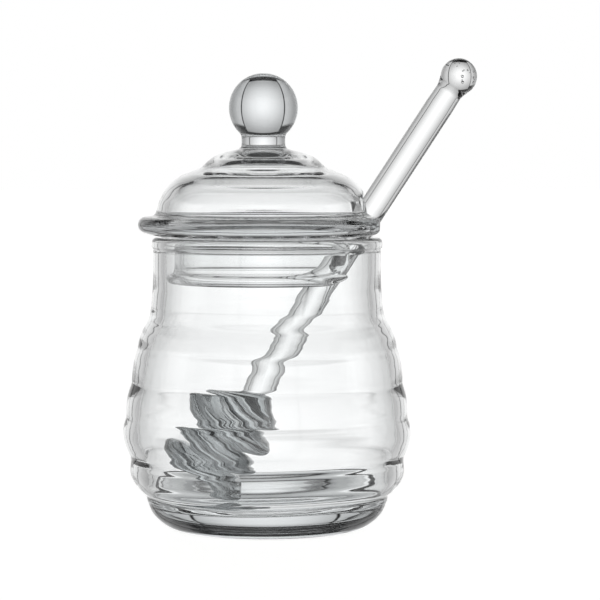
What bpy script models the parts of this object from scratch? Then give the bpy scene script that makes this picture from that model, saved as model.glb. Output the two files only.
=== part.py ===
"""Glass honey jar with a domed, knobbed lid and a glass honey dipper leaning out of the lid's notch.

The origin is the centre of the jar's flat base, +Z is up, and the dipper leans towards +X.
"""
import bpy
import bmesh
from math import atan2, cos, pi, radians, sin
from mathutils import Matrix, Vector

MM = 0.001
GAP = 0.3 * MM

# Jar: rim, neck and walls
RIM_TOP = 90.5 * MM
RIM_RADIUS = 35.7 * MM
RIM_BEAD_HEIGHT = 3.4 * MM
NECK_RADIUS = 35.3 * MM
NECK_BORE = 31.8 * MM
NECK_FOOT = 79.0 * MM

# Jar: the ribbed outside from the neck down to the base, as (radius, height)
OUTSIDE_WALL = [
    (35.7, 72.2), (36.0, 68.6), (36.25, 67.4), (36.85, 65.3), (38.9, 61.4), (39.95, 58.2), (40.5, 55.9),
    (41.4, 52.9), (41.9, 49.3), (42.0, 46.2), (42.75, 43.9), (43.5, 41.0), (43.75, 37.4), (43.75, 34.9),
    (44.55, 32.2), (44.75, 30.0), (44.4, 27.3), (43.1, 23.8), (42.3, 21.6), (42.65, 19.0), (42.2, 16.2),
    (40.5, 13.3), (38.1, 11.0), (37.5, 9.6), (36.6, 6.8), (35.6, 5.0), (33.8, 3.1), (31.0, 1.2),
    (28.0, 0.25), (25.0, 0.0)]

# Jar: the smoother inside wall, as (radius, height), and the floor over the heavy base
INSIDE_WALL = [
    (35.4, 13.0), (37.7, 17.0), (37.95, 20.2), (38.35, 22.6), (40.0, 26.6), (40.65, 30.5), (40.0, 34.2),
    (39.75, 38.0), (39.5, 41.0), (38.2, 49.5), (37.0, 55.0), (35.4, 59.5), (33.35, 63.0), (32.8, 64.5),
    (32.15, 69.0), (31.8, 73.0)]
FLOOR_TOP = 8.6 * MM
FLOOR_FLAT_RADIUS = 28.5 * MM

# Lid: it sits a little to the left, with its lip near the wall of the neck
LID_SHIFT = -1.1 * MM
BALL_RADIUS = 10.75 * MM
BALL_HEIGHT = 130.4 * MM
KNOB_NECK_RADIUS = 6.8 * MM
KNOB_NECK_FOOT = 118.5 * MM
DOME = [
    (7.5, 117.8), (9.4, 117.4), (12.1, 116.8), (14.9, 115.8), (17.2, 114.1), (19.2, 112.2), (21.2, 111.3),
    (24.2, 110.3), (27.5, 108.4), (29.5, 106.6), (30.9, 104.8), (31.9, 102.9), (33.1, 99.2), (33.6, 97.4)]
DOME_INSIDE = [
    (25.5, 88.5), (25.6, 90.2), (26.6, 91.8), (28.6, 93.4), (30.1, 95.2), (30.4, 97.0), (29.4, 100.8),
    (27.5, 104.1), (26.0, 105.6), (24.0, 107.0), (20.0, 108.5), (17.5, 109.6), (15.2, 111.4), (13.2, 112.7), (10.9, 113.5),
    (7.0, 113.9), (0.0, 114.0)]
FLANGE_RADIUS = 39.0 * MM
FLANGE_THICKNESS = 5.2 * MM
SKIRT_RADIUS = 27.6 * MM
SKIRT_BORE = 25.5 * MM
LIP_RADIUS = 30.2 * MM
LIP_HEIGHT = 77.7 * MM
LIP_THICKNESS = 3.2 * MM

# Lid: the notch for the dipper, wider towards the outside and towards the lip
NOTCH_HALF_INNER = 7.0 * MM
NOTCH_HALF_OUTER = 11.0 * MM
NOTCH_HALF_FOOT = 38.0 * MM
NOTCH_ROOM = 0.9 * MM
NOTCH_OVERRUN = 8.0 * MM
NOTCH_TOP = 105.5 * MM
NOTCH_ROUNDING = 3.0 * MM

# Dipper: a rod with a ball tip and a head of rings, leaning over the rim
ROD_RADIUS = 4.35 * MM
ROD_TILT = radians(33.07)
HEAD_END = Vector((-22.29 * MM, 0.0, 14.9 * MM))
HEAD_LENGTH = 30.4 * MM
RING_RADII = [14.2, 15.2, 15.0, 13.8]
GROOVE_RADIUS = 6.8 * MM
RING_SHARE = 0.6
TIP_CENTRE = 149.3 * MM
TIP_RADIUS = 5.7 * MM

SEGMENTS = 48
DIPPER_SEGMENTS = 28

GLASS_COLOUR = (0.90, 0.94, 0.93, 1.0)
GLASS_ROUGHNESS = 0.02


def clear_scene():
    for item in list(bpy.data.objects):
        bpy.data.objects.remove(item, do_unlink=True)


def new_collection(name):
    collection = bpy.data.collections.new(name)
    bpy.context.scene.collection.children.link(collection)
    return collection


def glass_material(name):
    material = bpy.data.materials.new(name)
    material.use_nodes = True
    shader = material.node_tree.nodes["Principled BSDF"]
    shader.inputs["Base Color"].default_value = GLASS_COLOUR
    shader.inputs["Roughness"].default_value = GLASS_ROUGHNESS
    shader.inputs["Metallic"].default_value = 0.0
    shader.inputs["Transmission Weight"].default_value = 1.0
    shader.inputs["IOR"].default_value = 1.5
    return material


def arc(centre, across, up, start, end, steps):
    """Points on an elliptical arc from angle start to angle end, in degrees."""
    points = []
    for step in range(steps + 1):
        angle = radians(start + (end - start) * step / steps)
        points.append((centre[0] + across * cos(angle), centre[1] + up * sin(angle)))
    return points


def in_metres(points):
    return [(radius * MM, height * MM) for radius, height in points]


def joined(*stretches):
    """One outline from several stretches, without the points that two stretches share."""
    outline = []
    for stretch in stretches:
        for point in stretch:
            if not outline or (Vector(point) - Vector(outline[-1])).length > 0.01 * MM:
                outline.append(point)
    return outline


def turned_piece(name, outline, segments, collection, material):
    """A closed solid turned round local Z from an outline of (radius, height) points."""
    mesh = bpy.data.meshes.new(name)
    points = [(radius, 0.0, height) for radius, height in outline]
    edges = [(index, index + 1) for index in range(len(points) - 1)]
    mesh.from_pydata(points, edges, [])
    piece = bpy.data.objects.new(name, mesh)
    collection.objects.link(piece)
    piece.data.materials.append(material)
    screw = piece.modifiers.new("turn", "SCREW")
    screw.steps = segments
    screw.render_steps = segments
    screw.use_merge_vertices = True
    screw.merge_threshold = 0.01 * MM
    screw.use_smooth_shade = True
    return piece


def jar_outline():
    """From the middle of the floor, up the inside, over the rim and down the ribs to the base."""
    inside = in_metres(INSIDE_WALL)
    bend_radius, bend_top = inside[0]
    floor_bend = arc(
        (FLOOR_FLAT_RADIUS, bend_top), bend_radius - FLOOR_FLAT_RADIUS, bend_top - FLOOR_TOP, -90, 0, 5)
    lip_half = (NECK_RADIUS - NECK_BORE) / 2
    rim = arc((NECK_BORE + lip_half, RIM_TOP - lip_half), lip_half, lip_half, 180, 90, 3)
    bead_corner = 1.5 * MM
    bead = arc((RIM_RADIUS - bead_corner, RIM_TOP - bead_corner), bead_corner, bead_corner, 90, 0, 2)
    bead_foot = [
        (RIM_RADIUS, RIM_TOP - RIM_BEAD_HEIGHT + 0.3 * MM),
        (NECK_RADIUS, RIM_TOP - RIM_BEAD_HEIGHT),
        (NECK_RADIUS, NECK_FOOT)]
    outside = in_metres(OUTSIDE_WALL)
    return joined([(0.0, FLOOR_TOP)], floor_bend, inside, rim, bead, bead_foot, outside, [(0.0, 0.0)])


def knob_outline():
    """From the top of the ball down to the foot of the knob's neck."""
    meet = 90 - (180 / pi) * atan2(KNOB_NECK_RADIUS, -(BALL_RADIUS ** 2 - KNOB_NECK_RADIUS ** 2) ** 0.5)
    ball = arc((0.0, BALL_HEIGHT), BALL_RADIUS, BALL_RADIUS, 90, meet, 8)
    return joined(ball, [(KNOB_NECK_RADIUS, KNOB_NECK_FOOT)])


def lid_outline():
    """From the top of the knob, down the outside, round flange and lip, and up the inside."""
    flange_half = FLANGE_THICKNESS / 2
    flange_centre = (FLANGE_RADIUS - flange_half, RIM_TOP + 3.9 * MM)
    flange = arc(flange_centre, flange_half, flange_half, 90, -70, 6)
    seat = RIM_TOP + GAP
    seat_under = [(NECK_RADIUS, seat + 0.4 * MM), (NECK_BORE + 1.0 * MM, seat)]
    skirt_top = [(SKIRT_RADIUS + 1.4 * MM, seat - 0.6 * MM), (SKIRT_RADIUS, seat - 2.2 * MM)]
    lip_half = LIP_THICKNESS / 2
    lip_centre = (LIP_RADIUS - lip_half, LIP_HEIGHT)
    skirt_foot = [(SKIRT_RADIUS, LIP_HEIGHT + lip_half + 0.6 * MM)]
    lip = arc(lip_centre, lip_half, lip_half, 80, -110, 5)
    lip_inner = arc((SKIRT_BORE + 1.2 * MM, LIP_HEIGHT + 0.4 * MM), 1.2 * MM, lip_half + 0.1 * MM, -120, -180, 2)

    return joined(
        knob_outline(), in_metres(DOME), flange, seat_under, skirt_top, skirt_foot, lip, lip_inner,
        in_metres(DOME_INSIDE))


def rod_point(distance, sideways=0.0):
    """A point on the dipper's axis at a distance from its head's end, moved across the axis in XZ."""
    along = Vector((sin(ROD_TILT), 0.0, cos(ROD_TILT)))
    across = Vector((cos(ROD_TILT), 0.0, -sin(ROD_TILT)))
    return HEAD_END + along * distance + across * sideways


def notch_cutter(collection):
    """A wedge that leans with the rod and opens outwards, from inside the rod's place to beyond the flange."""
    inner = -(ROD_RADIUS + NOTCH_ROOM)
    outer = FLANGE_RADIUS
    low = (LIP_HEIGHT - NOTCH_OVERRUN - HEAD_END.z) / cos(ROD_TILT)
    high = (NOTCH_TOP - HEAD_END.z) / cos(ROD_TILT)
    mesh = bpy.data.meshes.new("notch_cutter")
    block = bmesh.new()
    bmesh.ops.create_cube(block, size=2.0)
    for corner in block.verts:
        across = inner if corner.co.x < 0 else outer
        distance = low if corner.co.z < 0 else high
        outer_half = NOTCH_HALF_FOOT if corner.co.z < 0 else NOTCH_HALF_OUTER
        half = NOTCH_HALF_INNER if corner.co.x < 0 else outer_half
        place = rod_point(distance, across)
        corner.co = Vector((place.x, half * corner.co.y, place.z))
    inner_edges = []
    for edge in block.edges:
        ends = [vert.co for vert in edge.verts]
        upright = abs(ends[0].z - ends[1].z) > 5 * MM and abs(ends[0].y - ends[1].y) < 0.1 * MM
        if upright and max(abs(end.y) for end in ends) < NOTCH_HALF_INNER + 0.1 * MM:
            inner_edges.append(edge)
    bmesh.ops.bevel(block, geom=inner_edges, offset=NOTCH_ROUNDING, segments=4, profile=0.5, affect="EDGES")
    bmesh.ops.recalc_face_normals(block, faces=block.faces)
    block.to_mesh(mesh)
    block.free()
    cutter = bpy.data.objects.new("notch_cutter", mesh)
    collection.objects.link(cutter)
    cutter.hide_render = True
    cutter.display_type = "WIRE"
    return cutter


def dipper_outline():
    """From the tip of the ball down the rod, then over the rings to the end of the head."""
    meet = 90 - (180 / pi) * atan2(ROD_RADIUS, -(TIP_RADIUS ** 2 - ROD_RADIUS ** 2) ** 0.5)
    tip = arc((0.0, TIP_CENTRE), TIP_RADIUS, TIP_RADIUS, 90, meet + 8, 7)
    rod = [(ROD_RADIUS, TIP_CENTRE - 7.0 * MM), (ROD_RADIUS, HEAD_LENGTH + 2.0 * MM)]
    pitch = HEAD_LENGTH / len(RING_RADII)
    half = pitch * RING_SHARE / 2
    rings = []
    for index in reversed(range(len(RING_RADII))):
        radius = RING_RADII[index] * MM
        middle = pitch * (index + 0.5)
        core = min(GROOVE_RADIUS, radius - 2.5 * MM)
        if index < len(RING_RADII) - 1:
            rings.append([(core, middle + pitch / 2)])
        rings.append(arc((radius - half, middle), half, half, 90, -90, 4))
    end = [(0.0, pitch / 2 - half)]
    return joined(tip, rod, *rings, end)


def build():
    clear_scene()
    pieces = new_collection("glass_honey_jar")
    cutters = new_collection("cutters")

    turned_piece("jar", jar_outline(), SEGMENTS, pieces, glass_material("jar_glass"))

    lid = turned_piece("lid", lid_outline(), SEGMENTS, pieces, glass_material("lid_glass"))
    lid.location.x = LID_SHIFT
    cut = lid.modifiers.new("notch", "BOOLEAN")
    cut.operation = "DIFFERENCE"
    cut.object = notch_cutter(cutters)

    dipper = turned_piece("dipper", dipper_outline(), DIPPER_SEGMENTS, pieces, glass_material("dipper_glass"))
    dipper.matrix_world = Matrix.Translation(HEAD_END) @ Matrix.Rotation(ROD_TILT, 4, "Y")


build()
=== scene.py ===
import bpy
import bmesh
import random
from math import asin, atan2, cos, degrees, pi, radians, sin, sqrt
from mathutils import Matrix, Vector


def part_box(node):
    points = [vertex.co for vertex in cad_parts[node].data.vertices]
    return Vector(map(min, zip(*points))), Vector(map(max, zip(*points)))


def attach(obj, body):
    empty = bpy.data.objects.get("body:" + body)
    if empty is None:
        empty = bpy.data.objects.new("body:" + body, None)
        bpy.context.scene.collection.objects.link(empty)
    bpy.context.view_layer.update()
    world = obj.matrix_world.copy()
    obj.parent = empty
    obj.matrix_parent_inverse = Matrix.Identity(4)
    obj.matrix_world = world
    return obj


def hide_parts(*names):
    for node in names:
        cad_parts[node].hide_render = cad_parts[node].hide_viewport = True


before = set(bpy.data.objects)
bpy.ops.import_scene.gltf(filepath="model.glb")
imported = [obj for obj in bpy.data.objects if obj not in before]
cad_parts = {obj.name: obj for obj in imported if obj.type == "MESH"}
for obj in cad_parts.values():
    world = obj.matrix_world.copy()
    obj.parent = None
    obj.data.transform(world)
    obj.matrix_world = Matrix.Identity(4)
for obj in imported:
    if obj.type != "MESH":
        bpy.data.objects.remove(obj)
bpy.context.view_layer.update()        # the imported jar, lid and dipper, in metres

scene = bpy.context.scene
mm = 0.001


# Shader maths: a Wire is one output socket, and sums on it add Math nodes
class Wire:
    def __init__(self, tree, socket):
        self.tree = tree
        self.socket = socket

    def maths(self, operation, *values):
        return self.tree.add("ShaderNodeMath", {"operation": operation}, dict(enumerate(values)))

    def __add__(self, other):
        return self.maths("ADD", self, other)

    def __sub__(self, other):
        return self.maths("SUBTRACT", self, other)

    def __rsub__(self, other):
        return self.maths("SUBTRACT", other, self)

    def __mul__(self, other):
        return self.maths("MULTIPLY", self, other)

    def __truediv__(self, other):
        return self.maths("DIVIDE", self, other)

    def __rtruediv__(self, other):
        return self.maths("DIVIDE", other, self)

    __radd__ = __add__
    __rmul__ = __mul__

    def ramp(self, low, high):                     # 0 below low, 1 above high, smooth between
        return self.tree.add("ShaderNodeMapRange", {"interpolation_type": "SMOOTHSTEP"},
                             {"Value": self, "From Min": low, "From Max": high})

    def within(self, low, high, soft):             # 1 between low and high, 0 outside
        return self.ramp(low - soft, low + soft) * (1.0 - self.ramp(high - soft, high + soft))


class ShaderTree:
    def __init__(self, owner):
        owner.use_nodes = True
        self.tree = owner.node_tree
        self.tree.nodes.clear()

    def add(self, kind, settings=None, inputs=None, output=0):
        node = self.tree.nodes.new(kind)
        for name, value in (settings or {}).items():
            setattr(node, name, value)
        for name, value in (inputs or {}).items():
            socket = node.inputs[name]
            if isinstance(value, Wire):
                self.tree.links.new(value.socket, socket)
            else:
                socket.default_value = value
        return Wire(self, node.outputs[output] if len(node.outputs) else None)


# Outlines are lists of (radius, height) in millimetres
def arc(centre, across, up, start, end, steps):
    points = []
    for step in range(steps + 1):
        angle = radians(start + (end - start) * step / steps)
        points.append((centre[0] + across * cos(angle), centre[1] + up * sin(angle)))
    return points


def flowing(points, steps):                        # a smooth curve through all the points
    ends = [points[0]] + list(points) + [points[-1]]
    curve = []
    for before, first, last, after in zip(ends, ends[1:], ends[2:], ends[3:]):
        for step in range(steps):
            share = step / steps
            place = []
            for a, b, c, d in zip(before, first, last, after):
                bend = (2 * b + (c - a) * share + (2 * a - 5 * b + 4 * c - d) * share ** 2
                        + (3 * b - a - 3 * c + d) * share ** 3)
                place.append(bend / 2)
            curve.append(tuple(place))
    return curve + [tuple(points[-1])]


def waved(waves, angle, height):                   # slow waves: depth, count round, start, drift upwards
    return sum(depth * sin(count * angle + start + height * drift) for depth, count, start, drift in waves)


def joined(*stretches):
    outline = []
    for stretch in stretches:
        for point in stretch:
            if not outline or (Vector(point) - Vector(outline[-1])).length > 0.01:
                outline.append(tuple(point))
    return outline


def evenly(points, count):                         # the same outline at equal steps
    travel = [0.0]
    for first, last in zip(points, points[1:]):
        travel.append(travel[-1] + (Vector(last) - Vector(first)).length)
    spaced = []
    index = 0
    for step in range(count + 1):
        wanted = travel[-1] * step / count
        while index < len(points) - 2 and travel[index + 1] < wanted:
            index += 1
        share = (wanted - travel[index]) / max(travel[index + 1] - travel[index], 1e-9)
        spaced.append(tuple(Vector(points[index]).lerp(Vector(points[index + 1]), min(1.0, share))))
    return spaced


def softened(points, rounds):                      # rounds the corners, and keeps both ends
    points = [Vector(point) for point in points]
    for turn in range(rounds):
        middle = [(a + b * 2 + c) / 4 for a, b, c in zip(points, points[1:], points[2:])]
        points = [points[0]] + middle + [points[-1]]
    return [tuple(point) for point in points]


# Meshes
def newPiece(name, mesh, material):
    piece = bpy.data.objects.new(name, mesh)
    scene.collection.objects.link(piece)
    mesh.materials.append(material)
    mesh.shade_smooth()
    return piece


def place(radius, angle, height):
    return Vector((radius * cos(angle), radius * sin(angle), height)) * mm


def turned(outline, columns, shaped):              # a closed turned body, shaped(radius, height, angle)
    body = bmesh.new()
    rings = []
    for radius, height in outline:
        if radius < 0.001:
            rings.append([body.verts.new(place(0.0, 0.0, height))])
            continue
        ring = []
        for column in range(columns):
            angle = 2 * pi * column / columns
            wide, high = shaped(radius, height, angle)
            ring.append(body.verts.new(place(wide, angle, high)))
        rings.append(ring)
    for above, below in zip(rings, rings[1:]):
        for column in range(columns):
            after = (column + 1) % columns
            if len(above) == 1:
                body.faces.new((above[0], below[column], below[after]))
            elif len(below) == 1:
                body.faces.new((above[column], below[0], above[after]))
            else:
                body.faces.new((above[column], below[column], below[after], above[after]))
    return body


def finished(body, name):                          # faces outwards, then to a mesh
    bmesh.ops.recalc_face_normals(body, faces=body.faces)
    mesh = bpy.data.meshes.new(name)
    body.to_mesh(mesh)
    body.free()
    return mesh


def standsFor(piece, node):
    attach(piece, "root")
    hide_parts(node)


# Glass
def glass(name, look):
    material = bpy.data.materials.new(name)
    tree = ShaderTree(material)
    where = tree.add("ShaderNodeTexCoord", output=3)
    flow = tree.add("ShaderNodeMapping", inputs={"Vector": where, "Scale": look["stretch"]})
    waves = tree.add("ShaderNodeTexNoise", {"noise_dimensions": "3D"}, {
        "Vector": flow, "Scale": look["waveScale"], "Detail": look["waveDetail"], "Roughness": 0.4})
    smears = tree.add("ShaderNodeTexNoise", None, {
        "Vector": where, "Scale": look["smearScale"], "Detail": 3.0})
    smear = smears.ramp(look["smearFrom"], look["smearTo"])
    colour = tree.add("ShaderNodeMix", {"data_type": "RGBA"},
                      {0: waves, 6: look["thinColour"], 7: look["deepColour"]}, output=2)
    split = tree.add("ShaderNodeSeparateXYZ", None, {0: where}, output=2)
    shadeAmount = 1 - split.ramp(look["fullShadeAt"] * mm, look["noShadeFrom"] * mm)    # painted shade: the colour darkens past a height, standing in for the dark refractions of heavy glass
    # painted shade band between two heights
    rolledEdgeShade = split.within(look["shadeBandFoot"] * mm, look["shadeBandTop"] * mm, look["shadeBandSoft"] * mm)
    shadeAmount = shadeAmount + rolledEdgeShade                           # painted shade on a band round the rolled edge as well
    # mixes the painted shade colour into the glass colour
    colour = tree.add("ShaderNodeMix", {"data_type": "RGBA"},
                      {0: shadeAmount, 6: colour, 7: look["paintedShadeColour"]}, output=2)
    bump = tree.add("ShaderNodeBump", None,
                    {"Height": waves, "Strength": 1.0, "Distance": look["waveDepth"] * mm})
    shader = tree.add("ShaderNodeBsdfPrincipled", None, {
        "Base Color": colour,
        "Roughness": smear * look["smearRoughness"],
        "Normal": bump,
        "IOR": look["ior"],
        "Transmission Weight": 1.0})
    tree.add("ShaderNodeOutputMaterial", None, {"Surface": shader})
    return material


# The jar: a straight neck over a ribbed belly and a heavy base
jarSizes = {
    "rimRadius": 35.7, "beadHeight": 3.4, "neckRadius": 35.3, "neckBore": 31.8,
    "outsideWall": [
        (35.3, 79.0), (35.45, 75.5), (35.7, 72.2), (35.9, 69.8), (36.0, 68.6), (36.25, 67.4), (36.85, 65.3),
        (38.0, 63.2), (38.9, 61.4), (39.55, 59.8), (39.95, 58.2), (40.25, 56.8), (40.5, 55.9), (41.05, 54.4),
        (41.4, 52.9), (41.65, 51.2), (41.9, 49.3), (42.05, 47.4), (42.1, 46.1), (42.3, 45.1), (42.75, 43.8),
        (43.15, 42.4), (43.45, 41.0), (43.65, 39.3), (43.75, 37.4), (43.7, 35.8), (43.75, 34.9), (44.2, 33.6),
        (44.55, 32.2), (44.75, 30.7), (44.7, 29.1), (44.4, 27.3), (43.85, 25.4), (43.15, 23.8), (42.6, 22.6),
        (42.4, 21.5), (42.5, 20.4), (42.6, 19.0), (42.55, 17.6), (42.2, 16.2), (41.5, 14.8), (40.5, 13.3),
        (39.3, 12.0), (38.1, 11.0), (37.65, 10.3), (37.5, 9.4), (37.2, 8.4), (36.6, 6.8), (35.6, 5.0),
        (33.8, 3.1), (31.0, 1.2), (28.0, 0.25), (25.0, 0.0)],
    "insideWall": [
        (35.4, 13.0), (36.85, 15.0), (37.7, 17.0), (37.95, 19.0), (37.95, 20.8), (38.35, 22.6), (39.2, 24.6),
        (40.0, 26.6), (40.5, 28.5), (40.65, 30.5), (40.45, 32.3), (40.0, 34.2), (39.8, 36.0), (39.75, 38.0),
        (39.5, 41.0), (38.8, 46.0), (38.2, 49.5), (37.6, 52.5), (37.0, 55.0), (36.2, 57.5), (35.4, 59.5),
        (34.25, 61.5), (33.35, 63.0), (32.8, 64.5), (32.45, 66.5), (32.15, 69.0), (31.8, 73.0)],
    "floorTop": 8.6, "floorFlat": 28.5, "floorBendTop": 13.0,
    "columns": 200,
    "liftWaves": [(0.2, 1, 0.0, 0.0), (0.3, 2, 1.1, 0.09), (0.2, 3, -0.6, -0.05)],
    "widthWaves": [(0.05, 3, 0.4, 0.13), (0.04, 5, 0.0, -0.21)], "shrink": 0.09,
}
jarLook = {
    "thinColour": (0.994, 0.998, 0.998, 1.0), "deepColour": (0.976, 0.986, 0.988, 1.0),
    "stretch": (1.0, 1.0, 3.0), "waveScale": 22.0, "waveDepth": 0.12, "smearRoughness": 0.01, "ior": 1.5,
    # painted shade: the jar's base gets a darker colour, full below 7 mm, none above 15 mm
    "paintedShadeColour": (0.84, 0.87, 0.88, 1.0), "fullShadeAt": 7.0, "noShadeFrom": 15.0,
    # painted shade band, set below the glass so it paints nothing here
    "shadeBandFoot": -9.0, "shadeBandTop": -8.0, "shadeBandSoft": 0.6,
    "waveDetail": 1.5, "smearScale": 45.0, "smearFrom": 0.55, "smearTo": 0.8,
}


def jarOutline(sizes):
    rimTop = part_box("jar")[1][2] / mm
    bend = sizes["insideWall"][0][0] - sizes["floorFlat"]
    floorBend = arc((sizes["floorFlat"], sizes["floorBendTop"]),
                    bend, sizes["floorBendTop"] - sizes["floorTop"], -90, 0, 28)
    floor = evenly([(0.0, sizes["floorTop"]), floorBend[0]], 10)
    inside = flowing(sizes["insideWall"], 8)
    lipHalf = (sizes["neckRadius"] - sizes["neckBore"]) / 2
    rimInside = arc((sizes["neckBore"] + lipHalf, rimTop - lipHalf), lipHalf, lipHalf, 180, 90, 8)
    bore = evenly([inside[-1], rimInside[0]], 10)
    corner = 1.5
    bead = arc((sizes["rimRadius"] - corner, rimTop - corner), corner, corner, 90, 0, 7)
    beadFoot = [(sizes["rimRadius"], rimTop - sizes["beadHeight"] + 0.5),
                (sizes["rimRadius"] - 0.1, rimTop - sizes["beadHeight"] + 0.2),
                (sizes["neckRadius"], rimTop - sizes["beadHeight"])]
    neck = evenly([beadFoot[-1], sizes["outsideWall"][0]], 6)
    belly = flowing(sizes["outsideWall"], 4)
    flat = evenly([belly[-1], (0.0, 0.0)], 10)
    return joined(floor, floorBend, inside, bore, rimInside, bead, beadFoot, neck, belly, flat)


def jarShape(radius, height, angle):               # the slightly uneven, hand-blown wall
    low = min(1.0, max(0.0, (height - 1.0) / 10.0))
    high = min(1.0, max(0.0, (84.0 - height) / 14.0))
    edge = min(1.0, radius / 30.0) ** 2
    amount = low * high * edge
    lift = waved(jarSizes["liftWaves"], angle, height)
    width = waved(jarSizes["widthWaves"], angle, height) - jarSizes["shrink"]
    return radius + width * amount, height + lift * amount


def buildJar():
    body = turned(jarOutline(jarSizes), jarSizes["columns"], jarShape)
    piece = newPiece("jar_blown_glass", finished(body, "jar_blown_glass"), glass("jar glass", jarLook))
    standsFor(piece, "jar")
    print("jar: blown body made")
    return piece


# The lid: a ball knob on a stepped dome, a rolled flange, a skirt with a rolled lip, and the dipper's notch
lidSizes = {
    "shift": -1.1, "columns": 60, "notchColumns": 5, "smoothing": 1,
    "ballRadius": 10.75, "ballHeight": 130.4, "neckRadius": 6.8,
    "neckTop": 121.7, "neckFoot": 118.5,
    "dome": [(7.5, 117.8), (9.4, 117.4), (12.1, 116.8), (14.9, 115.8), (17.2, 114.1), (19.2, 112.2),
             (21.2, 111.3), (24.2, 110.3), (27.5, 108.4), (29.5, 106.6), (30.9, 104.8), (31.9, 102.9),
             (32.6, 101.1), (33.1, 99.2), (33.6, 97.4)],
    "domeInside": [(25.5, 88.5), (25.6, 90.2), (26.6, 91.8), (28.6, 93.4), (30.1, 95.2), (30.4, 97.0),
                   (29.9, 98.9), (29.4, 100.8), (28.6, 102.4), (27.5, 104.1), (26.0, 105.6), (24.0, 107.0),
                   (22.0, 107.9), (20.0, 108.5), (17.5, 109.6), (15.2, 111.4), (13.2, 112.7), (10.9, 113.5),
                   (7.0, 113.9), (3.0, 114.0), (0.0, 114.0)],
    "seat": 90.8, "flangeRadius": 39.0, "flangeHeight": 94.4, "flangeThickness": 5.2,
    "skirtRadius": 27.6, "skirtBore": 25.5, "lipRadius": 30.2, "lipHeight": 77.7, "lipThickness": 3.2,
    "notchTop": (31.0, 104.8), "notchTopInside": (28.3, 102.6),
    "notchHalf": 8.0, "notchTopHalf": 5.6, "archStart": 0.76,
    "flangeFlare": 5.2, "flangeFlareFrom": 33.0, "lipFlare": 9.0, "lipFlareFrom": 84.5, "lipFlareRun": 6.8,
    "edgeRounding": 1.5, "pairs": 42,
}
lidLook = dict(jarLook, waveScale=30.0, waveDepth=0.05, stretch=(1.0, 1.0, 1.5),
               paintedShadeColour=(0.84, 0.86, 0.87, 1.0), fullShadeAt=122.0, noShadeFrom=117.0,    # painted shade on the knob, from the top down
               # painted shade band across the rolled flange, from 90.5 to 95.5 mm
               shadeBandFoot=90.5, shadeBandTop=95.5)


def splitAt(points, place):                        # two stretches that share the point nearest place
    wanted = Vector(place)
    nearest = min(range(len(points)), key=lambda index: (Vector(points[index]) - wanted).length)
    return points[:nearest + 1], points[nearest:]


def lidOutlines(sizes):                            # outside to the lip, its underside, inside to the crown
    ball = sizes["ballRadius"]
    neck = sizes["neckRadius"]
    meet = 90 - degrees(atan2(neck, -sqrt(ball ** 2 - neck ** 2)))
    knob = arc((0.0, sizes["ballHeight"]), ball, ball, 90, meet, 26)
    neckLine = evenly([(neck, sizes["neckTop"]), (neck, sizes["neckFoot"])], 4)
    dome = flowing(sizes["dome"], 3)
    half = sizes["flangeThickness"] / 2
    flange = arc((sizes["flangeRadius"] - half, sizes["flangeHeight"]), half, half, 100, -75, 12)
    seat = sizes["seat"]
    under = [(35.0, seat + 0.4), (32.8, seat + 0.1), (29.6, seat - 0.2)]
    skirt = [(sizes["skirtRadius"] + 0.5, seat - 1.0), (sizes["skirtRadius"], seat - 2.4),
             (sizes["skirtRadius"], sizes["lipHeight"] + 3.4)]
    lipHalf = sizes["lipThickness"] / 2
    lipCentre = (sizes["lipRadius"] - lipHalf, sizes["lipHeight"])
    lipOutside = arc(lipCentre, lipHalf, lipHalf, 105, -20, 8)
    lipUnder = arc(lipCentre, lipHalf, lipHalf, -20, -95, 3)
    lipInside = arc((sizes["skirtBore"] + 1.3, sizes["lipHeight"] + 0.4), 1.3, lipHalf + 0.3, -110, -180, 3)
    outside = joined(knob, neckLine, dome, flange, under, skirt, lipOutside)
    inside = joined([lipInside[-1]], flowing(sizes["domeInside"], 3))
    return outside, joined(lipUnder, lipInside), inside


def notchHalf(sizes, radius, height, share):       # half the notch's width, share is 0 at the lip, 1 on top
    half = sizes["notchHalf"]
    if share > sizes["archStart"]:
        climb = (share - sizes["archStart"]) / (1 - sizes["archStart"])
        half = sizes["notchTopHalf"] + (half - sizes["notchTopHalf"]) * sqrt(max(0.0, 1 - climb ** 2))
    if height < sizes["lipFlareFrom"]:
        half += sizes["lipFlare"] * min(1.15, (sizes["lipFlareFrom"] - height) / sizes["lipFlareRun"]) ** 2
    reach = max(0.0, radius - sizes["flangeFlareFrom"]) / (sizes["flangeRadius"] - sizes["flangeFlareFrom"])
    return half + sizes["flangeFlare"] * reach ** 3 * 1.4


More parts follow.
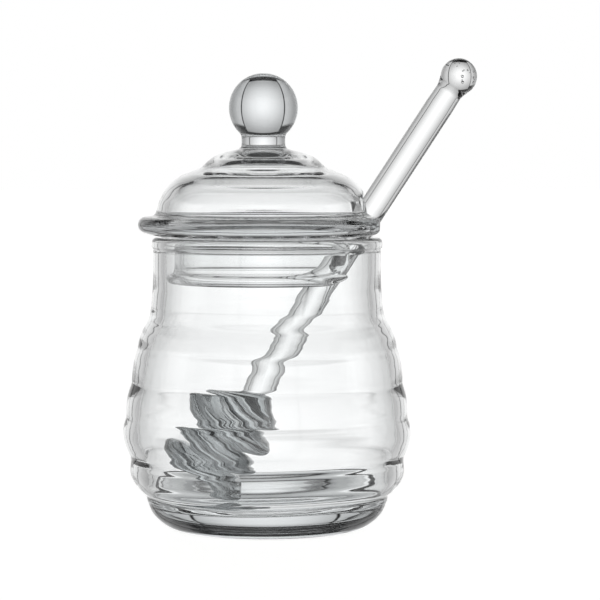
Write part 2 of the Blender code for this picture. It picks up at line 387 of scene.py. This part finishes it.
def lidCage(sizes):
    outside, underside, inside = lidOutlines(sizes)
    crown, outer = splitAt(outside, sizes["notchTop"])
    inner, vault = splitAt(inside, sizes["notchTopInside"])
    pairs = sizes["pairs"]

    def paired(points):                            # equal steps, and a longer one next to the notch's top
        even = evenly(points, pairs * 4)
        return [even[0]] + [even[6 + round((len(even) - 7) * step / (pairs - 1))] for step in range(pairs)]

    crown = evenly(crown, 74)
    outer = paired(outer)                          # from the notch's top down to the lip
    inner = list(reversed(paired(list(reversed(inner)))))
    lip = evenly(joined([outer[-1]], underside, [inner[0]]), 6)
    vault = evenly(vault, 18)
    stations = crown[:-1] + outer + lip[1:-1] + inner + vault[1:]
    top = len(crown) - 1                           # the station above the notch outside
    lipFirst = top + pairs
    lipLast = lipFirst + 6
    topInside = lipLast + pairs                    # and the one above it inside
    shares = []
    for index in range(len(stations)):
        if index <= top or index >= topInside:
            shares.append(1.0)
        elif index <= lipFirst:
            shares.append((lipFirst - index) / pairs)
        elif index < lipLast:
            shares.append(0.0)
        else:
            shares.append((index - lipLast) / pairs)

    def across(first, last):
        return (Vector(stations[first]) - Vector(stations[last])).length

    def rounding(share):                           # the rung's own edge rounding, from its glass thickness
        step = round(share * pairs)
        return min(sizes["edgeRounding"], 0.42 * across(lipFirst - step, lipLast + step))

    def halfAngle(radius, height, share):
        half = notchHalf(sizes, radius, height, share)
        return asin(min(0.9, half / max(radius, 20.0)))

    body = bmesh.new()
    around = sizes["columns"]
    notch = sizes["notchColumns"]
    grid = []
    for index, (radius, height) in enumerate(stations):
        share = shares[index]
        if radius < 0.001:
            grid.append([body.verts.new(place(0.0, 0.0, height))])
            continue
        edge = halfAngle(radius, height, share) + rounding(share) / max(radius, 20.0)
        row = []
        for column in range(around + 1):
            row.append(body.verts.new(place(radius, edge + (2 * pi - 2 * edge) * column / around, height)))
        if index <= top or index >= topInside:
            for column in range(1, notch + 1):
                row.append(body.verts.new(place(radius, -edge + 2 * edge * column / (notch + 1), height)))
        grid.append(row)

    for index in range(len(stations) - 1):
        upper, lower = grid[index], grid[index + 1]
        closed = index < top or index >= topInside
        columns = around + notch + 1 if closed else around
        for column in range(columns):
            after = (column + 1) % (around + notch + 1) if closed else column + 1
            if len(upper) == 1:
                body.faces.new((upper[0], lower[column], lower[after]))
            elif len(lower) == 1:
                body.faces.new((upper[column], lower[0], upper[after]))
            else:
                body.faces.new((upper[column], lower[column], lower[after], upper[after]))

    downward = (Vector(stations[top + 1]) - Vector(stations[top])).normalized()

    def rung(share, turn, ends):                   # seven vertices across the glass, at one place
        step = round(share * pairs)
        first = Vector(stations[lipFirst - step])
        last = Vector(stations[lipLast + step])
        length = (last - first).length
        soft = rounding(share)
        vertices = [ends[0]]
        for travel, back in ((0.29, 0.29), (1.0, 0.0), (None, 0.0), (-1.0, 0.0), (-0.29, 0.29)):
            reach = length / 2 if travel is None else (travel * soft) % length
            spot = first.lerp(last, reach / length)
            if share == 1.0:
                spot = spot + downward * soft * (1 - back)
            edge = halfAngle(spot.x, spot.y, share) + back * soft / spot.x
            vertices.append(body.verts.new(place(spot.x, edge * turn, spot.y)))
        return vertices + [ends[1]]

    rungs = [[grid[index][0] for index in range(lipFirst, lipLast + 1)]]
    for step in range(1, pairs + 1):
        rungs.append(rung(step / pairs, 1.0, (grid[lipFirst - step][0], grid[lipLast + step][0])))
    for column in range(notch, 0, -1):
        ends = (grid[top][around + column], grid[topInside][around + column])
        rungs.append(rung(1.0, 2 * column / (notch + 1) - 1, ends))
    for step in range(pairs, 0, -1):
        ends = (grid[lipFirst - step][around], grid[lipLast + step][around])
        rungs.append(rung(step / pairs, -1.0, ends))
    rungs.append([grid[index][around] for index in range(lipFirst, lipLast + 1)])
    for first, last in zip(rungs, rungs[1:]):
        for a, b, c, d in zip(first, first[1:], last[1:], last):
            body.faces.new((a, b, c, d))
    return body


def buildLid():
    body = lidCage(lidSizes)
    bmesh.ops.translate(body, vec=Vector((lidSizes["shift"] * mm, 0.0, 0.0)), verts=body.verts)
    piece = newPiece("lid_with_ball_knob", finished(body, "lid_with_ball_knob"), glass("lid glass", lidLook))
    smooth = piece.modifiers.new("smooth", "SUBSURF")
    smooth.levels = lidSizes["smoothing"]
    smooth.render_levels = lidSizes["smoothing"]
    standsFor(piece, "lid")
    print("lid: dome, flange, skirt and notch made")
    return piece


# The dipper: a solid rod with a ball tip and a head of pressed rings, leaning over the rim
dipperSizes = {
    "rodRadius": 4.35, "tilt": 33.07, "headEnd": (-22.29, 0.0, 14.9), "headLength": 30.4,
    "ringRadii": [14.2, 15.2, 15.0, 13.8], "grooveRadius": 6.8, "ringShare": 0.6,
    "tipCentre": 149.31, "tipRadius": 5.68, "columns": 112,
    "widthWaves": [(0.22, 2, 0.0, 0.4), (0.12, 3, 0.0, -0.7)], "liftWaves": [(0.25, 2, 0.8, 0.0)],
    "shrink": 0.3, "bubbles": 22, "bubbleSeed": 4,
}
# painted shade: the dipper's head gets a much darker colour, full below 38 mm, none above 43 mm
dipperLook = dict(jarLook, paintedShadeColour=(0.56, 0.59, 0.6, 1.0), fullShadeAt=38.0, noShadeFrom=43.0,
                  waveScale=40.0, waveDepth=0.06, stretch=(1.0, 1.0, 0.35))


def dipperOutline(sizes):                          # from the ball's top to the middle of the head's end
    ball = sizes["tipRadius"]
    rod = sizes["rodRadius"]
    centre = sizes["tipCentre"]
    meet = 90 - degrees(atan2(rod, -sqrt(ball ** 2 - rod ** 2)))
    tip = arc((0.0, centre), ball, ball, 90, meet + 12, 24)
    neck = flowing([tip[-1], (rod - 0.1, centre - 5.2), (rod - 0.12, centre - 7.2), (rod, centre - 11.0)], 6)
    pitch = sizes["headLength"] / len(sizes["ringRadii"])
    half = pitch * sizes["ringShare"] / 2
    collar = sizes["headLength"] + 2.0
    shaft = evenly([neck[-1], (rod, collar + 3.0)], 60)
    rings = [(rod, collar)]
    for index in reversed(range(len(sizes["ringRadii"]))):
        radius = sizes["ringRadii"][index]
        middle = pitch * (index + 0.5)
        core = min(sizes["grooveRadius"], radius - 2.5)
        if index < len(sizes["ringRadii"]) - 1:
            rings.append((core, middle + pitch / 2))
        rings += arc((radius - half, middle), half, half, 90, -90, 12)
    rings.append((0.0, pitch / 2 - half))
    head = softened(evenly(joined([shaft[-1]], rings), 210), 5)
    return joined(tip, neck, shaft, head)


def dipperShape(radius, height, angle):            # rings pressed by hand are never quite round
    amount = min(1.0, max(0.0, (dipperSizes["headLength"] - height) / 4.0)) * min(1.0, radius / 9.0) ** 3
    wide = waved(dipperSizes["widthWaves"], angle, height) - dipperSizes["shrink"]
    return radius + wide * amount, height + waved(dipperSizes["liftWaves"], angle, height) * amount


def addBubbles(body, sizes):                       # a few air bubbles caught in the ball
    draw = random.Random(sizes["bubbleSeed"])
    for index in range(sizes["bubbles"]):
        turn = draw.uniform(0, 2 * pi)
        out = sizes["tipRadius"] * draw.uniform(0.15, 0.8)
        up = draw.uniform(-0.1, 0.75) * sqrt(sizes["tipRadius"] ** 2 - out ** 2)
        spot = place(out, turn, sizes["tipCentre"] + up)
        bubble = bmesh.ops.create_icosphere(
            body, subdivisions=2, radius=draw.uniform(0.14, 0.32) * mm, matrix=Matrix.Translation(spot))
        faces = {face for vertex in bubble["verts"] for face in vertex.link_faces}
        bmesh.ops.reverse_faces(body, faces=list(faces))


def buildDipper():
    body = turned(dipperOutline(dipperSizes), dipperSizes["columns"], dipperShape)
    bmesh.ops.recalc_face_normals(body, faces=body.faces)
    addBubbles(body, dipperSizes)
    lean = Matrix.Rotation(radians(dipperSizes["tilt"]), 4, "Y")
    move = Matrix.Translation(Vector(dipperSizes["headEnd"]) * mm)
    bmesh.ops.transform(body, matrix=move @ lean, verts=body.verts)
    mesh = bpy.data.meshes.new("dipper_rod_and_head")
    body.to_mesh(mesh)
    body.free()
    piece = newPiece("dipper_rod_and_head", mesh, glass("dipper glass", dipperLook))
    standsFor(piece, "dipper")
    print("dipper: rod, ball tip and rings made")
    return piece


# Studio: a light panel with darker wings on every side, and a pale floor
studioLook = {
    "panelHalf": 26.5, "panelTop": 35.0, "panelFoot": -39.0, "panelPeak": 1.1,
    "panelSpread": 31.0, "panelRise": 30.0, "panelCentre": -3.0,
    "wingFrom": 28.5, "wingTop": 25.0, "wingFoot": -46.0, "wingRun": 30.0, "wingLight": 0.62, "wingFade": 0.5,
    "flankHalf": 12.0, "flankTop": 24.0, "flankFoot": -26.0, "flankLight": 0.5,
    "gapLight": 0.004, "topFrom": 46.0, "topLight": 0.03, "footFrom": -55.0, "footLight": 0.18,
    "sideEdge": 0.7, "panelEnds": 1.2, "wingEnds": 3.0, "flankEdge": 2.0, "flankEnds": 2.0, "capEdge": 3.0,
    "floorColour": (0.88, 0.88, 0.87, 1.0), "floorGlow": 0.9, "floorReach": 6.0, "floorDrop": 0.0002,
}


def lightStudio(look):
    scene.world = bpy.data.worlds.new("studio")
    tree = ShaderTree(scene.world)
    toward = tree.add("ShaderNodeTexCoord")
    sides = tree.add("ShaderNodeSeparateXYZ", None, {0: toward})
    node = sides.socket.node
    east, north, up = (Wire(tree, node.outputs[index]) for index in range(3))
    turn = east.maths("ARCTAN2", east, north)
    side = turn.maths("PINGPONG", turn, pi / 2) * (180 / pi)
    rise = up.maths("ARCSINE", up) * (180 / pi)
    inPanel = 1 - side.ramp(look["panelHalf"] - look["sideEdge"], look["panelHalf"] + look["sideEdge"])
    inPanel = inPanel * rise.within(look["panelFoot"], look["panelTop"], look["panelEnds"])
    acrossPart = side / look["panelSpread"]
    upPart = (rise - look["panelCentre"]) / look["panelRise"]
    glow = look["panelPeak"] / (1 + acrossPart * acrossPart + upPart * upPart)
    wing = side.ramp(look["wingFrom"] - look["sideEdge"], look["wingFrom"] + look["sideEdge"])
    wing = wing * rise.within(look["wingFoot"], look["wingTop"], look["wingEnds"])
    fade = side.ramp(look["wingFrom"], look["wingFrom"] + look["wingRun"])
    wing = wing * (1 - fade * look["wingFade"])
    flankFrom = 90 - look["flankHalf"]
    flank = side.ramp(flankFrom, flankFrom + look["flankEdge"])
    flank = flank * rise.within(look["flankFoot"], look["flankTop"], look["flankEnds"])
    top = rise.ramp(look["topFrom"] - look["capEdge"], look["topFrom"] + look["capEdge"])
    foot = 1 - rise.ramp(look["footFrom"] - look["capEdge"], look["footFrom"] + look["capEdge"])
    around = wing * look["wingLight"] + flank * look["flankLight"]
    around = around + top * look["topLight"] + foot * look["footLight"]
    light = inPanel * glow + around + look["gapLight"]
    seen = tree.add("ShaderNodeLightPath")
    shown = seen + (1 - seen) * light
    background = tree.add("ShaderNodeBackground", None, {"Strength": shown, "Color": (1.0, 1.0, 1.0, 1.0)})
    tree.add("ShaderNodeOutputWorld", None, {"Surface": background})
    print("studio: light made")


def layFloor(look):
    material = bpy.data.materials.new("pale floor")
    tree = ShaderTree(material)
    where = tree.add("ShaderNodeTexCoord", output=3)
    grain = tree.add("ShaderNodeTexNoise", None, {"Vector": where, "Scale": 30.0, "Detail": 3.0})
    shader = tree.add("ShaderNodeBsdfPrincipled", None, {
        "Base Color": look["floorColour"], "Roughness": grain * 0.1 + 0.7,
        "Emission Color": (1.0, 1.0, 0.995, 1.0), "Emission Strength": look["floorGlow"]})
    tree.add("ShaderNodeOutputMaterial", None, {"Surface": shader})
    mesh = bpy.data.meshes.new("floor")
    far = look["floorReach"]
    drop = -look["floorDrop"]                      # just clear of the jar's foot
    mesh.from_pydata([(-far, -far, drop), (far, -far, drop), (far, far, drop), (-far, far, drop)],
                     [], [(0, 1, 2, 3)])
    floor = newPiece("floor", mesh, material)
    floor.visible_transmission = False
    floor.visible_glossy = False
    print("studio: floor laid")


cameraPlace = {"stand": (10.2, -890.0, 120.6), "aim": (10.2, 0.0, 71.0), "lens": 172.6}


def setCamera(sizes):
    camera = bpy.data.objects.new("camera", bpy.data.cameras.new("camera"))
    scene.collection.objects.link(camera)
    stand = Vector(sizes["stand"]) * mm
    aim = Vector(sizes["aim"]) * mm
    camera.location = stand
    camera.rotation_euler = (aim - stand).to_track_quat("-Z", "Y").to_euler()
    camera.data.sensor_width = 36.0
    camera.data.lens = sizes["lens"]
    camera.data.clip_start = 0.01
    scene.camera = camera
    print("camera: set")


buildJar()
buildLid()
buildDipper()
lightStudio(studioLook)
layFloor(studioLook)
setCamera(cameraPlace)
scene.view_settings.view_transform = "Standard"
scene.cycles.max_bounces = 32
scene.cycles.transmission_bounces = 32
scene.cycles.glossy_bounces = 12
scene.cycles.caustics_refractive = True
